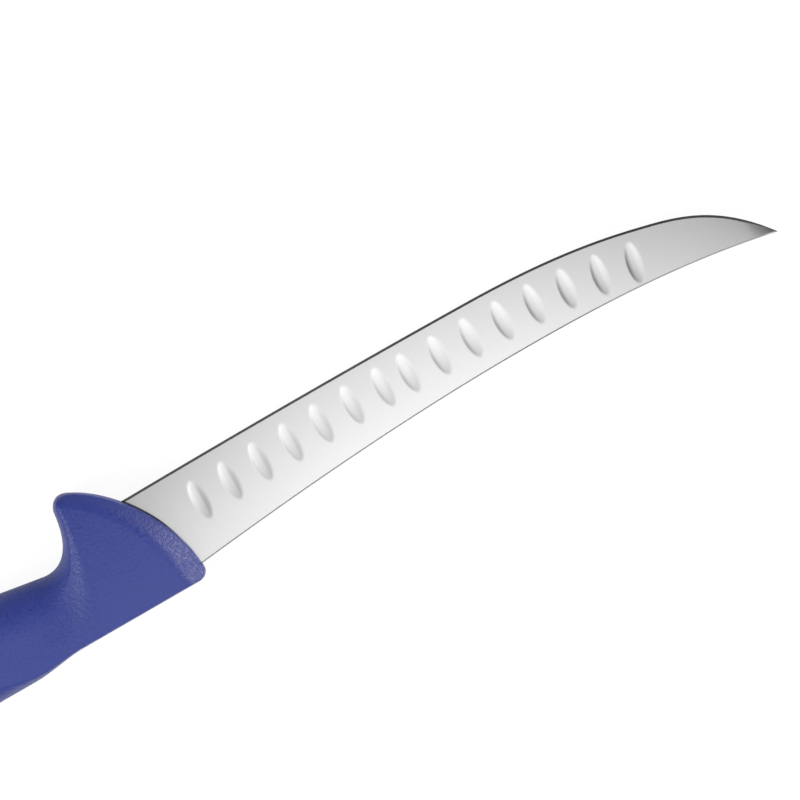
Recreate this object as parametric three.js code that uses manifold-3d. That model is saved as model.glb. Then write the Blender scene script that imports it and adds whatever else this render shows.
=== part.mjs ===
// Cimeter knife: a curved butcher's blade with ground hollows, and a guarded handle moulded round its tang.
// Millimetres. In the knife's plan x runs from the handle's nose (0) towards the tip, y from the spine
// towards the cutting edge, and z across the thickness. The knife lies on its side, on the handle's cheek.

import * as THREE from 'three';
import { mergeVertices } from 'three/addons/utils/BufferGeometryUtils.js';
import Module from 'manifold-3d';

// Blade outline. Widths and drops are measured from the spine line, y = 0.
const STRAIGHT_RUN = 110.6; // nose to where the edge begins to sweep
const BELLY_RUN = 55; // first part of the sweep
const TIP_RUN = 38.4; // last part of the sweep, up to the tip
const HEEL_WIDTH = 28.43; // edge, along its straight part
const BELLY_WIDTH = 22.3; // edge, between the two parts of the sweep
const TIP_DROP = 0.6; // tip, below the spine line
const SPINE_DROP = 0.4; // spine at the handle, below the spine line
const SPINE_RISE = 7.05; // hollow of the spine
const SPINE_RISE_AT = 118.6; // nose to the hollow's middle
const TIP_LAND = 0.2; // length that blunts the tip

// Slopes of the edge and the spine at those places
const HEEL_SLOPE = 0.015;
const SWEEP_SLOPE = -0.016;
const BELLY_SLOPE = -0.24;
const TIP_SLOPE = -1.35;
const SPINE_SLOPE = 0.109;
const SPINE_TIP_SLOPE = -0.22;

// Blade thickness
const SPINE_THICKNESS = 2.6;
const TIP_THICKNESS = 0.7;
const TIP_TILT = 0.045; // steepest slope of the flats, where the blade narrows to the tip
const TIP_BLEND = 0.2; // softness of the change to that slope
const EDGE_THICKNESS = 0.5; // behind the cutting bevel
const EDGE_LAND = 0.06; // at the cutting edge itself
const BEVEL_WIDTH = 0.7; // cutting bevel
const BEVEL_TIP_SHARE = 0.16; // most of the blade's width that the bevel takes, near the tip
const SPINE_CHAMFER = 0.4;

// Hollows ground into both faces, in two groups with a shorter step between them
const HOLLOW_LENGTH = 13;
const HOLLOW_WIDTH = 5.2;
const HOLLOW_DEPTH = 0.17;
const HOLLOW_SKEW = 0.6; // deepest line, from the hollow's middle towards the handle
const HOLLOW_PITCH = 11;
const GROUP_STEP = 8.8;
const HEEL_GROUP = 7; // hollows in the group at the heel
const TIP_GROUP = 8; // hollows in the group towards the tip
const FIRST_HOLLOW = 9.3; // nose to the first hollow
const HOLLOW_SETBACK = 10.2; // cutting edge to the row of hollows
const HEEL_SETBACK = 1.7; // added to that at the first hollow
const HEEL_SETBACK_RUN = 52; // length over which the addition dies away
const WHEEL_WIDTH = 8; // wheel that grinds the hollows

// Tang, inside the handle
const HEEL_EMBED = 3.8; // heel corner behind the front of the guard
const TANG_OVERLAP = 5; // full-thickness stock that runs on into the ground blade
const TANG_LOW = 1.5; // lower side above the spine line
const TANG_HEIGHT = 15;
const TANG_END_HEIGHT = 11;
const TANG_CORNER = 3;
const TANG_HOLES = 3; // holes that the plastic runs through
const TANG_HOLE_DIAMETER = 6;
const BUTT_COVER = 32; // plastic behind the tang

// Handle outline: lengths of its stretches along x, from the nose backwards
const FRONT_RUN = 25.4; // to the start of the guard's crown
const CROWN_RUN = 6.3; // over the crown
const NOTCH_RUN = 12.7; // down the back of the guard to the finger rest
const PALM_RUN = 45; // to the palm swell
const WAIST_RUN = 22; // to the waist
const FLARE_RUN = 14; // to the flare
const BUTT_RUN = 8.6; // to the butt end
const THUMB_RUN = 18; // underside, from the finger rest to the palm's full depth

// Handle outline: heights above and depths below the spine line
const CROWN_BACK_HEIGHT = 35.5; // back of the guard, behind the crown
const CROWN_HEIGHT = 3.7; // start of the crown, above the guard's back
const FINGER_REST_HEIGHT = 20.3;
const PALM_HEIGHT = 25.7;
const WAIST_HEIGHT = 23.6;
const FLARE_HEIGHT = 26.6;
const BUTT_HEIGHT = 11;
const NOSE_DEPTH = 1.5;
const THUMB_DEPTH = 4.8;
const PALM_DEPTH = 6.5;
const FLARE_DEPTH = 4.4;

// Handle outline: slopes, and the reach of its curves
const CROWN_SLOPE = -0.48;
const FINGER_REST_SLOPE = -0.155;
const FLARE_SLOPE = -0.3;
const FLARE_UNDER_SLOPE = -0.14;
const FRONT_RISE = 15.1; // upright stretch above the nose
const CROWN_LEAN = 13.4; // stretch before the crown
const CROWN_BULGE = 4.4; // top of the crown
const CROWN_BACK_BULGE = 1.1; // behind it
const GUARD_SLANT = 1.6; // back of the guard
const REST_REACH = 3.4; // finger rest before its lowest point
const NOSE_LENGTH = 3.4; // rounding under the nose
const QUARTER_ROUND = 0.55; // reach of the controls of that rounding, as a share of its legs
const BUTT_REACH = 4.5; // rounding of the butt
const BUTT_ROUND = 9;

// Handle form across its thickness
const HANDLE_THICKNESS = 22;
const BOLSTER_ROUND = 0.8; // rounded border under the bolster
const CROWN_ROUND = 2.4; // rounded border of the guard's crown
const FRONT_ROUND = 0.35; // rounded border towards the blade
const FINGER_ROUND = 15; // rounded border along the fingers
const PALM_ROUND = 6; // rounded border along the thumb and palm
const ROUND_CHANGE_START = 0.2; // shares of the way across between which the border changes
const ROUND_CHANGE_END = 0.8;
const GRIP_START = 50; // nose to where the grip has its full rounding
const FRONT_BEVEL_WIDTH = 7.4; // bevel towards the blade, at the spine line
const FRONT_BEVEL_TOP = 3; // the same at the crown
const FRONT_BEVEL_SLOPE = 0.82;
const CREASE_BLEND = 0.8; // softness of the bevel's crease
const RIDGE_BACK = 28.8; // ridge behind the guard, nose to its upper end
const RIDGE_SWEEP = 14.6; // further back at its lower end
const RIDGE_SOFT = 7; // softness of the ridge at its lower end
const SCOOP_DEPTH = 1.7; // finger rest below the cheek
const SCOOP_LOW_DEPTH = 0.6; // the same at the underside
const SCOOP_FULL_HEIGHT = 12.2; // above the spine line, where the scoop has its full depth
const SCOOP_FALL = 9; // ridge to the bottom of the scoop
const SCOOP_RISE = 26; // from there back up to the palm

// Fit of the steel in the plastic moulded round it
const CLEARANCE = 0.3;
const MOUTH_RUN_OUT = 4; // hollow for the blade carried past the nose

// Reference point on the cheek that the knife lies on
const PINCH_BACK = 22; // behind the nose
const PINCH_HEIGHT = 14; // above the spine line

// Fineness of the surfaces
const BLADE_STEP = 5;
const TIP_STEP = 1.6;
const WHEEL_SEGMENTS = 400;
const RIM_SEGMENTS = 10;
const HOLE_SEGMENTS = 8;
const UNDER_ROWS = 12; // underside of the handle to the row along the bevel's crease
const GUARD_ROWS = 7; // from that row to the guard side
const RIM_ROWS = 3; // on the rounded rim at each side
const RIM_LIMIT = 0.4; // most of the way to the crease that a rim takes
const CREASE_ROW_FIRST = 0.15; // bounds of the crease's share of the way across
const CREASE_ROW_LAST = 0.94;
const CREASE_ROW_GRIP = 0.5; // its share on the grip, behind the bevel
const FRONT_COLUMNS = 20;
const GUARD_COLUMNS = 20;
const PALM_COLUMNS = 12;
const WAIST_COLUMNS = 10;
const BUTT_COLUMNS = 9;
const OUTLINE_DETAIL = 4;
const PROBE = 0.01; // step over which slopes are measured
const BISECTIONS = 30;
const WELD = 1e-4; // corners closer than this are one

const bladeLength = STRAIGHT_RUN + BELLY_RUN + TIP_RUN;
const cheek = HANDLE_THICKNESS / 2;
const { clamp, lerp, smoothstep } = THREE.MathUtils;

const wasm = await Module();
wasm.setup();

function point(x, y) {
  return new THREE.Vector2(x, y);
}

function sloped(x, y, slope) {
  return { x, y, slope };
}

// Smooth run of an outline between two places with known slopes, even in x.
function run(from, to) {
  const third = (to.x - from.x) / 3;
  return new THREE.CubicBezierCurve(
    point(from.x, from.y),
    point(from.x + third, from.y + from.slope * third),
    point(to.x - third, to.y - to.slope * third),
    point(to.x, to.y),
  );
}

function chain(...curves) {
  const path = new THREE.CurvePath();
  curves.forEach((curve) => path.add(curve));
  return path;
}

function spread(from, to, step) {
  const count = Math.ceil(Math.abs(to - from) / step);
  return Array.from({ length: count }, (_, i) => lerp(from, to, i / count));
}

// Height at x of runs that follow one another.
function heightAt(runs, x) {
  const part = runs.find((piece) => x <= piece.v3.x) ?? runs.at(-1);
  return part.getPoint((x - part.v0.x) / (part.v3.x - part.v0.x)).y;
}

function slopeAt(runs, x) {
  return (heightAt(runs, x + PROBE) - heightAt(runs, x - PROBE)) / (2 * PROBE);
}

// Share between two others up to which a test holds.
function lastShare(from, to, holds) {
  let low = from;
  let high = to;
  for (let i = 0; i < BISECTIONS; i += 1) {
    const middle = (low + high) / 2;
    if (holds(middle)) {
      low = middle;
    } else {
      high = middle;
    }
  }
  return low;
}

// Share of a rising curve's run at which it passes the height y.
function crossingAt(curve, y) {
  return lastShare(0, 1, (share) => curve.getPoint(share).y < y);
}

// Closed skin over loops with the same number of corners, in order from the tip to the butt, shut by a fan
// at each end.
function loft(loops) {
  const size = loops[0].length;
  const last = (loops.length - 1) * size;
  const index = [];
  for (let start = 0; start < last; start += size) {
    for (let j = 0; j < size; j += 1) {
      const a = start + j;
      const b = start + ((j + 1) % size);
      index.push(a, b, a + size, b, b + size, a + size);
    }
  }
  for (let j = 1; j + 1 < size; j += 1) {
    index.push(0, j + 1, j, last, last + j, last + j + 1);
  }
  const geometry = new THREE.BufferGeometry();
  const corners = loops.flat().flatMap((corner) => corner.toArray());
  geometry.setAttribute('position', new THREE.Float32BufferAttribute(corners, 3));
  geometry.setIndex(index);
  return geometry;
}

function solid(geometry) {
  const bare = geometry.clone();
  bare.deleteAttribute('normal');
  bare.deleteAttribute('uv');
  const { attributes, index } = mergeVertices(bare, WELD);
  const triangles = [];
  for (let i = 0; i < index.count; i += 3) {
    const corners = [index.getX(i), index.getX(i + 1), index.getX(i + 2)];
    if (new Set(corners).size === 3) {
      triangles.push(...corners);
    }
  }
  return new wasm.Manifold(new wasm.Mesh({
    numProp: 3,
    vertProperties: new Float32Array(attributes.position.array),
    triVerts: new Uint32Array(triangles),
  }));
}

function piece(name, body, material) {
  const { vertProperties, triVerts } = body.getMesh();
  const geometry = new THREE.BufferGeometry();
  geometry.setAttribute('position', new THREE.Float32BufferAttribute(vertProperties, 3));
  geometry.setIndex(new THREE.Uint32BufferAttribute(triVerts, 1));
  geometry.computeVertexNormals();
  const mesh = new THREE.Mesh(geometry, material);
  mesh.name = name;
  return mesh;
}

// Places on the handle's outline, guard side and then underside
const nose = point(0, -NOSE_DEPTH);
const crownStart = point(-FRONT_RUN, CROWN_BACK_HEIGHT + CROWN_HEIGHT);
const crownBack = point(crownStart.x - CROWN_RUN, CROWN_BACK_HEIGHT);
const fingerRest = sloped(crownBack.x - NOTCH_RUN, FINGER_REST_HEIGHT, FINGER_REST_SLOPE);
const palm = sloped(fingerRest.x - PALM_RUN, PALM_HEIGHT, 0);
const waist = sloped(palm.x - WAIST_RUN, WAIST_HEIGHT, 0);
const flare = sloped(waist.x - FLARE_RUN, FLARE_HEIGHT, FLARE_SLOPE);
const butt = point(flare.x - BUTT_RUN, BUTT_HEIGHT);
const thumbFront = sloped(-NOSE_LENGTH, -THUMB_DEPTH, 0);
const thumbBack = sloped(fingerRest.x, -THUMB_DEPTH, 0);
const palmFront = sloped(fingerRest.x - THUMB_RUN, -PALM_DEPTH, 0);
const palmUnder = sloped(palm.x, -PALM_DEPTH, 0);
const flareUnder = sloped(flare.x, -FLARE_DEPTH, FLARE_UNDER_SLOPE);

function guardFront() {
  const lean = point(crownStart.x + CROWN_LEAN, crownStart.y + CROWN_LEAN * CROWN_SLOPE);
  return new THREE.CubicBezierCurve(nose, point(0, nose.y + FRONT_RISE), lean, crownStart);
}

function guardCrown() {
  const top = point(crownStart.x - CROWN_BULGE, crownStart.y - CROWN_BULGE * CROWN_SLOPE);
  const behind = point(crownBack.x, crownBack.y + CROWN_BACK_BULGE);
  return new THREE.CubicBezierCurve(crownStart, top, behind, crownBack);
}

function guardBack() {
  const foot = point(crownBack.x - GUARD_SLANT, fingerRest.y);
  const rest = point(fingerRest.x + REST_REACH, fingerRest.y + REST_REACH * FINGER_REST_SLOPE);
  return new THREE.CubicBezierCurve(crownBack, foot, rest, point(fingerRest.x, fingerRest.y));
}

function noseUnder() {
  const down = point(0, lerp(nose.y, thumbFront.y, QUARTER_ROUND));
  const back = point(thumbFront.x * (1 - QUARTER_ROUND), thumbFront.y);
  return new THREE.CubicBezierCurve(nose, down, back, point(thumbFront.x, thumbFront.y));
}

// Half of the butt's rounding, from the flare on one side to the rearmost point.
function buttHalf(from, round) {
  const reach = point(from.x - BUTT_REACH, from.y - BUTT_REACH * from.slope);
  return new THREE.CubicBezierCurve(point(from.x, from.y), reach, point(butt.x, butt.y + round), butt);
}

// Stretches of the outline, as a guard side and an underside that lie opposite each other
const front = guardFront();
const thumbLine = run(thumbFront, sloped(crownStart.x, -THUMB_DEPTH, 0));
const stretches = [
  { guard: front, under: chain(noseUnder(), thumbLine), columns: FRONT_COLUMNS },
  {
    guard: chain(guardCrown(), guardBack()),
    under: run(sloped(crownStart.x, -THUMB_DEPTH, 0), thumbBack),
    columns: GUARD_COLUMNS,
  },
  {
    guard: run(fingerRest, palm),
    under: chain(run(thumbBack, palmFront), run(palmFront, palmUnder)),
    columns: PALM_COLUMNS,
  },
  {
    guard: chain(run(palm, waist), run(waist, flare)),
    under: run(palmUnder, flareUnder),
    columns: WAIST_COLUMNS,
  },
  { guard: buttHalf(flare, BUTT_ROUND), under: buttHalf(flareUnder, -BUTT_ROUND), columns: BUTT_COLUMNS },
];

function side(name, detail) {
  return stretches.flatMap((stretch, i) => {
    const points = stretch[name].getSpacedPoints(stretch.columns * detail);
    return i === 0 ? points : points.slice(1);
  });
}

const outline = [...side('guard', OUTLINE_DETAIL), ...side('under', OUTLINE_DETAIL).reverse()];

function distanceToOutline(place) {
  const nearest = new THREE.Vector3();
  const target = new THREE.Vector3(place.x, place.y, 0);
  const line = new THREE.Line3();
  let least = Infinity;
  for (let i = 0; i + 1 < outline.length; i += 1) {
    line.start.set(outline[i].x, outline[i].y, 0);
    line.end.set(outline[i + 1].x, outline[i + 1].y, 0);
    line.closestPointToPoint(target, true, nearest);
    least = Math.min(least, nearest.distanceTo(target));
  }
  return least;
}

// Lesser of two heights, with a rounded crease where they meet.
function softLesser(a, b, blend) {
  const overlap = Math.max(blend - Math.abs(a - b), 0) / blend;
  return Math.min(a, b) - (overlap * overlap * blend) / 4;
}

// The value where it is above 0, and 0 below, with the corner between rounded over the reach.
function softRamp(value, reach) {
  return Math.abs(value) < reach ? (value + reach) ** 2 / (4 * reach) : Math.max(value, 0);
}

// Depth of the finger rest's scoop, which falls off the ridge behind the guard and fades into the palm.
// The ridge is crisp at the crown and softens towards the underside.
function scoopDepth({ x, y }) {
  const down = clamp((crownBack.y - y) / (crownBack.y + THUMB_DEPTH), 0, 1);
  const behind = softRamp(-RIDGE_BACK - RIDGE_SWEEP * down ** 2 - x, RIDGE_SOFT * down ** 2);
  const fall = clamp(behind / SCOOP_FALL, 0, 1);
  const rise = 1 - smoothstep(behind, SCOOP_FALL, SCOOP_FALL + SCOOP_RISE);
  const depth = lerp(SCOOP_LOW_DEPTH, SCOOP_DEPTH, smoothstep(y, -THUMB_DEPTH, SCOOP_FULL_HEIGHT));
  return depth * fall * (2 - fall) * rise;
}

// Half thickness on the front bevel, carried on past its crease.
function bevelHeight({ x, y }) {
  const share = crossingAt(front, clamp(y, nose.y, crownStart.y));
  const rim = front.getPoint(share);
  const along = front.getTangent(share);
  const inset = along.y * (rim.x - x) - along.x * (rim.y - y);
  const width = lerp(FRONT_BEVEL_WIDTH, FRONT_BEVEL_TOP, clamp(y / crownStart.y, 0, 1));
  return cheek - FRONT_BEVEL_SLOPE * (width - inset);
}

// Width of the rounded border beside a place.
function borderRound({ x }, across) {
  const guardSide = smoothstep(across, ROUND_CHANGE_START, ROUND_CHANGE_END);
  const guardRound = lerp(CROWN_ROUND, FRONT_ROUND, smoothstep(x, crownBack.x, crownStart.x + CROWN_ROUND));
  const frontShare = Math.max(guardSide, smoothstep(x, -FRONT_BEVEL_WIDTH, nose.x));
  const bolsterRound = lerp(BOLSTER_ROUND, guardRound, frontShare);
  const gripRound = lerp(PALM_ROUND, FINGER_ROUND, guardSide);
  return lerp(bolsterRound, gripRound, smoothstep(-x, RIDGE_BACK, GRIP_START));
}

// Half thickness of the handle; across is 0 at the underside and 1 at the guard side.
function handleHeight(place, across) {
  const inside = clamp(distanceToOutline(place) / borderRound(place, across), 0, 1);
  const top = softLesser(cheek - scoopDepth(place), bevelHeight(place), CREASE_BLEND);
  return top * Math.sqrt(1 - (1 - inside) ** 2);
}

// Shares from one to another, closer together at both ends; the last is left to what follows.
function easedShares(from, to, count) {
  return Array.from({ length: count }, (_, i) => lerp(from, to, (1 - Math.cos((Math.PI * i) / count)) / 2));
}

// Shares over a rounded rim, from its outer end to its inner one.
function rimShares(outer, inner) {
  return Array.from({ length: RIM_ROWS + 1 }, (_, i) => {
    return lerp(outer, inner, 1 - Math.cos((Math.PI * i) / RIM_ROWS / 2));
  });
}

// Shares of the way across the handle at which a loop has its corners. Rows of corners follow the rims and
// the crease of the front bevel.
function loopShares(under, guard) {
  const at = (share) => under.clone().lerp(guard, share);
  const bevelEnd = lastShare(0, 1, (share) => bevelHeight(at(share)) > cheek);
  const bounded = clamp(bevelEnd, CREASE_ROW_FIRST, CREASE_ROW_LAST);
  const crease = lerp(bounded, CREASE_ROW_GRIP, smoothstep(-guard.x, -crownBack.x, GRIP_START));
  const lowEnd = crease * RIM_LIMIT;
  const low = lastShare(0, lowEnd, (share) => distanceToOutline(at(share)) < BOLSTER_ROUND);
  const highEnd = lerp(1, crease, RIM_LIMIT);
  const high = lastShare(highEnd, 1, (share) => distanceToOutline(at(share)) > FRONT_ROUND);
  const lowRim = rimShares(0, low).slice(1, -1);
  const lowRows = easedShares(low, crease, UNDER_ROWS);
  const highRows = easedShares(crease, high, GUARD_ROWS);
  const highRim = rimShares(1, high).slice(1).reverse();
  return [...lowRim, ...lowRows, ...highRows, ...highRim];
}

// Loop round the handle between two opposite places of its outline.
function handleLoop(under, guard) {
  const rows = loopShares(under, guard).map((across) => {
    const place = under.clone().lerp(guard, across);
    return new THREE.Vector3(place.x, place.y, handleHeight(place, across));
  });
  const mirrored = rows.map((corner) => new THREE.Vector3(corner.x, corner.y, -corner.z)).reverse();
  const low = new THREE.Vector3(under.x, under.y, 0);
  const high = new THREE.Vector3(guard.x, guard.y, 0);
  return [low, ...rows, high, ...mirrored];
}

function handleForm() {
  const guard = side('guard', 1);
  const under = side('under', 1);
  return solid(loft(guard.map((place, i) => handleLoop(under[i], place))));
}

// Blade and tang. The heel lies behind the place where the edge runs into the guard.
const heel = front.getPoint(crossingAt(front, HEEL_WIDTH)).x - HEEL_EMBED;
const tangEnd = butt.x + BUTT_COVER;
const tip = point(bladeLength, -TIP_DROP);
const sweepStart = sloped(STRAIGHT_RUN, HEEL_WIDTH, SWEEP_SLOPE);
const belly = sloped(STRAIGHT_RUN + BELLY_RUN, BELLY_WIDTH, BELLY_SLOPE);
const edge = [
  run(sloped(heel, HEEL_WIDTH, HEEL_SLOPE), sweepStart),
  run(sweepStart, belly),
  run(belly, sloped(tip.x, tip.y, TIP_SLOPE)),
];
const spineMouth = sloped(0, -SPINE_DROP, SPINE_SLOPE);
const spineHollow = sloped(SPINE_RISE_AT, SPINE_RISE, 0);
const spine = [
  run(sloped(heel, -SPINE_DROP, 0), spineMouth),
  run(spineMouth, spineHollow),
  run(spineHollow, sloped(tip.x, tip.y, SPINE_TIP_SLOPE)),
];
const bevelSlope = (EDGE_THICKNESS - EDGE_LAND) / 2 / BEVEL_WIDTH;

// Sizes of the blade across x: its spine, the shoulder of its cutting bevel and its edge.
function bladeAcross(x) {
  const low = heightAt(spine, x);
  const high = heightAt(edge, x);
  const square = Math.hypot(1, slopeAt(edge, x));
  const taper = lerp(SPINE_THICKNESS, TIP_THICKNESS, clamp(x / bladeLength, 0, 1)) / 2;
  const shoulder = high - Math.min(BEVEL_WIDTH * square, BEVEL_TIP_SHARE * (high - low));
  const flank = EDGE_LAND / 2 + (bevelSlope * (high - shoulder)) / square;
  const back = softLesser(taper, flank + TIP_TILT * (shoulder - low), TIP_BLEND);
  const chamfer = Math.min(SPINE_CHAMFER, (high - low) / 4);
  return { low, high, shoulder, back, flank, chamfer };
}

// Loop round the blade at x, grown outwards where it stands for the hollow in the plastic.
function bladeLoop(x, grow) {
  const { low, high, shoulder, back, flank, chamfer } = bladeAcross(x);
  const half = [
    [low - grow, back - Math.min(chamfer, back / 2) + grow],
    [low + chamfer - grow, back + grow],
    [shoulder, flank + grow],
    [high + grow, EDGE_LAND / 2 + grow],
  ];
  const upper = half.map(([y, z]) => new THREE.Vector3(x, y, z));
  const lower = half.map(([y, z]) => new THREE.Vector3(x, y, -z)).reverse();
  return [...upper, ...lower];
}

// Half thickness of the blade on its flat, between the spine and the bevel.
function bladeHeight(x, y) {
  const { low, shoulder, back, flank, chamfer } = bladeAcross(x);
  return lerp(back, flank, (y - low - chamfer) / (shoulder - low - chamfer));
}

function tangPlate(grow) {
  const root = heel + TANG_OVERLAP + grow;
  const end = tangEnd - grow;
  const taper = (TANG_HEIGHT - TANG_END_HEIGHT) / 2;
  const low = TANG_LOW - grow;
  const high = TANG_LOW + TANG_HEIGHT + grow;
  const corner = TANG_CORNER + grow;
  const plate = new THREE.Shape();
  plate.moveTo(root, low);
  plate.lineTo(root, high);
  plate.lineTo(end + corner, high - taper);
  plate.quadraticCurveTo(end, high - taper, end, high - taper - corner);
  plate.lineTo(end, low + taper + corner);
  plate.quadraticCurveTo(end, low + taper, end + corner, low + taper);
  plate.closePath();
  for (let i = 1; i <= TANG_HOLES; i += 1) {
    const hole = new THREE.Path();
    const x = lerp(heel, tangEnd, i / (TANG_HOLES + 1));
    hole.absarc(x, TANG_LOW + TANG_HEIGHT / 2, TANG_HOLE_DIAMETER / 2 - grow, 0, Math.PI * 2);
    plate.holes.push(hole);
  }
  const depth = SPINE_THICKNESS + grow * 2;
  const stock = { depth, bevelEnabled: false, curveSegments: HOLE_SEGMENTS };
  return solid(new THREE.ExtrudeGeometry(plate, stock).translate(0, 0, -depth / 2));
}

// Radius of the arc that is this deep over half its chord.
function arcRadius(halfChord, depth) {
  return halfChord ** 2 / (2 * depth) + depth / 2;
}

// Grinding wheel, its axis along x, whose bite leaves a hollow of the stated size. Its rim is steeper on
// the side towards the handle.
function grindingWheel() {
  const radius = arcRadius(HOLLOW_LENGTH / 2, HOLLOW_DEPTH);
  const steepRim = arcRadius(HOLLOW_WIDTH / 2 - HOLLOW_SKEW, HOLLOW_DEPTH);
  const flatRim = arcRadius(HOLLOW_WIDTH / 2 + HOLLOW_SKEW, HOLLOW_DEPTH);
  const profile = [point(0, -WHEEL_WIDTH / 2)];
  for (let i = 0; i <= RIM_SEGMENTS; i += 1) {
    const place = lerp(-WHEEL_WIDTH / 2, WHEEL_WIDTH / 2, i / RIM_SEGMENTS);
    const offset = place + HOLLOW_SKEW;
    const rim = offset < 0 ? steepRim : flatRim;
    profile.push(point(radius - rim + Math.sqrt(rim ** 2 - offset ** 2), place));
  }
  profile.push(point(0, WHEEL_WIDTH / 2));
  const wheel = new THREE.LatheGeometry(profile, WHEEL_SEGMENTS).rotateZ(-Math.PI / 2);
  return solid(wheel.translate(0, 0, radius - HOLLOW_DEPTH));
}

// Places of the hollows along the blade; the far face has its hollows between those of the near face.
function hollowPlaces() {
  const near = [];
  let x = FIRST_HOLLOW;
  for (let i = 0; i < HEEL_GROUP + TIP_GROUP; i += 1) {
    near.push(x);
    x += i === HEEL_GROUP - 1 ? GROUP_STEP : HOLLOW_PITCH;
  }
  const far = near.slice(1).map((place, i) => (place + near[i]) / 2);
  return { near, far };
}

// Turn and place of the wheel for the hollow at x, square to the edge and level with the face there.
// The near face is 1 and the far face -1.
function wheelPlace(x, face) {
  const heelShare = clamp(1 - (x - FIRST_HOLLOW) / HEEL_SETBACK_RUN, 0, 1);
  const y = heightAt(edge, x) - HOLLOW_SETBACK - HEEL_SETBACK * heelShare;
  const tiltX = (bladeHeight(x + PROBE, y) - bladeHeight(x - PROBE, y)) / (2 * PROBE);
  const tiltY = (bladeHeight(x, y + PROBE) - bladeHeight(x, y - PROBE)) / (2 * PROBE);
  const normal = new THREE.Vector3(-tiltX, -tiltY, face).normalize();
  const along = new THREE.Vector3(1, slopeAt(edge, x), 0).projectOnPlane(normal).normalize();
  const across = normal.clone().cross(along);
  const turn = new THREE.Matrix4().makeBasis(along, across, normal);
  return turn.setPosition(x, y, face * bladeHeight(x, y));
}

function bladeBody() {
  const stations = [
    ...spread(bladeLength - TIP_LAND, belly.x, TIP_STEP),
    ...spread(belly.x, STRAIGHT_RUN, BLADE_STEP),
    ...spread(STRAIGHT_RUN, heel, BLADE_STEP),
    heel,
  ];
  const blank = solid(loft(stations.map((x) => bladeLoop(x, 0)))).add(tangPlate(0));
  const wheel = grindingWheel();
  const { near, far } = hollowPlaces();
  const bites = [...near.map((x) => wheelPlace(x, 1)), ...far.map((x) => wheelPlace(x, -1))];
  return bites.reduce((body, place) => body.subtract(wheel.transform(place.elements)), blank);
}

// Handle with the hollow that the heel and the tang leave in it; its plastic fills the tang's holes.
function handleBody() {
  const stations = [...spread(MOUTH_RUN_OUT, heel - CLEARANCE, BLADE_STEP), heel - CLEARANCE];
  const heelHollow = solid(loft(stations.map((x) => bladeLoop(x, CLEARANCE))));
  return handleForm().subtract(heelHollow.add(tangPlate(CLEARANCE)));
}

const steel = new THREE.MeshStandardMaterial({ color: 0xd7d7d7, roughness: 0.28, metalness: 0.95 });
const plastic = new THREE.MeshStandardMaterial({ color: 0x313f8c, roughness: 0.5, metalness: 0 });

const knife = new THREE.Group();
knife.add(piece('blade', bladeBody(), steel), piece('handle', handleBody(), plastic));
knife.position.set(PINCH_BACK, -PINCH_HEIGHT, cheek);

const part = new THREE.Group();
part.add(knife);

export default part;
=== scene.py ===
"""Cimeter knife lying on its cheek: a ground steel blade in a moulded plastic handle, in a pale studio.

Shapes are drawn in millimetres in the knife's plan: x runs from the handle's nose towards the tip, y from
the spine line towards the cutting edge, and z across the thickness, with the blade's middle plane at 0.
A finished mesh is set in the part's frame, in metres.
"""

import math
from bisect import bisect_left

import bmesh
import bpy
from mathutils import Matrix, Vector
from mathutils.geometry import interpolate_bezier
from mathutils.kdtree import KDTree


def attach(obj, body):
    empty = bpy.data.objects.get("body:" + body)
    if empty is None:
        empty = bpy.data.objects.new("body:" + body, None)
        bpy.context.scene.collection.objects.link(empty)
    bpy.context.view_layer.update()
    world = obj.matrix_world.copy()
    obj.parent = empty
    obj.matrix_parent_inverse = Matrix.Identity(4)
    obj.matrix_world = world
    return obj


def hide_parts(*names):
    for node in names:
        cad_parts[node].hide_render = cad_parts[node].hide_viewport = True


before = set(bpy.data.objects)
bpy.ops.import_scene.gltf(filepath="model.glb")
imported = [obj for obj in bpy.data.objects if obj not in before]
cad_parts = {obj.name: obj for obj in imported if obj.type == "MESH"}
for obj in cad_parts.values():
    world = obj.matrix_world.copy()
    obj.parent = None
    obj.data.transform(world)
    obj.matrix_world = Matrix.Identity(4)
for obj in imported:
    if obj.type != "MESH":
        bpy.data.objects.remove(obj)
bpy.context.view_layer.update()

FRAME_SHIFT = (0.022, -0.014, 0.011)
MILLIMETRE = 0.001
PLAN_TO_FRAME = Matrix.Translation(FRAME_SHIFT) @ Matrix.Scale(MILLIMETRE, 4)

# Blade: places along the cutting edge and the spine as (x, y, slope)
HEEL = -15.4
BLADE_LENGTH = 204.0
EDGE = [(HEEL, 28.43, 0.015), (110.6, 28.43, -0.016), (165.6, 22.3, -0.24), (BLADE_LENGTH, -0.6, -1.35)]
SPINE = [(HEEL, -0.4, 0.0), (0.0, -0.4, 0.109), (118.6, 7.05, 0.0), (BLADE_LENGTH, -0.6, -0.22)]
TIP_LAND = 0.2
SPINE_THICKNESS = 2.6
TIP_THICKNESS = 0.7
TIP_TILT = 0.045
TIP_BLEND = 0.2
EDGE_THICKNESS = 0.5
EDGE_LAND = 0.06
BEVEL_WIDTH = 0.78
BEVEL_TIP_SHARE = 0.16
SPINE_CHAMFER = 0.4

# Hollows ground into the blade's two faces; the wall towards the handle is steep, the other one fades out
HOLLOW_LENGTH = 13.0
HOLLOW_WIDTH = 5.2
HOLLOW_DEPTH = 0.17
HOLLOW_PITCH = 11.0
GROUP_STEP = 8.8
HEEL_GROUP = 7
TIP_GROUP = 8
FIRST_HOLLOW = 9.3
HOLLOW_SETBACK = 10.2
HEEL_SETBACK = 1.7
HEEL_SETBACK_RUN = 52.0
STEEP_END = -0.25
STEEP_POWER = 2.5
FADE_START = 0.0
FADE_END = 0.98

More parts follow.
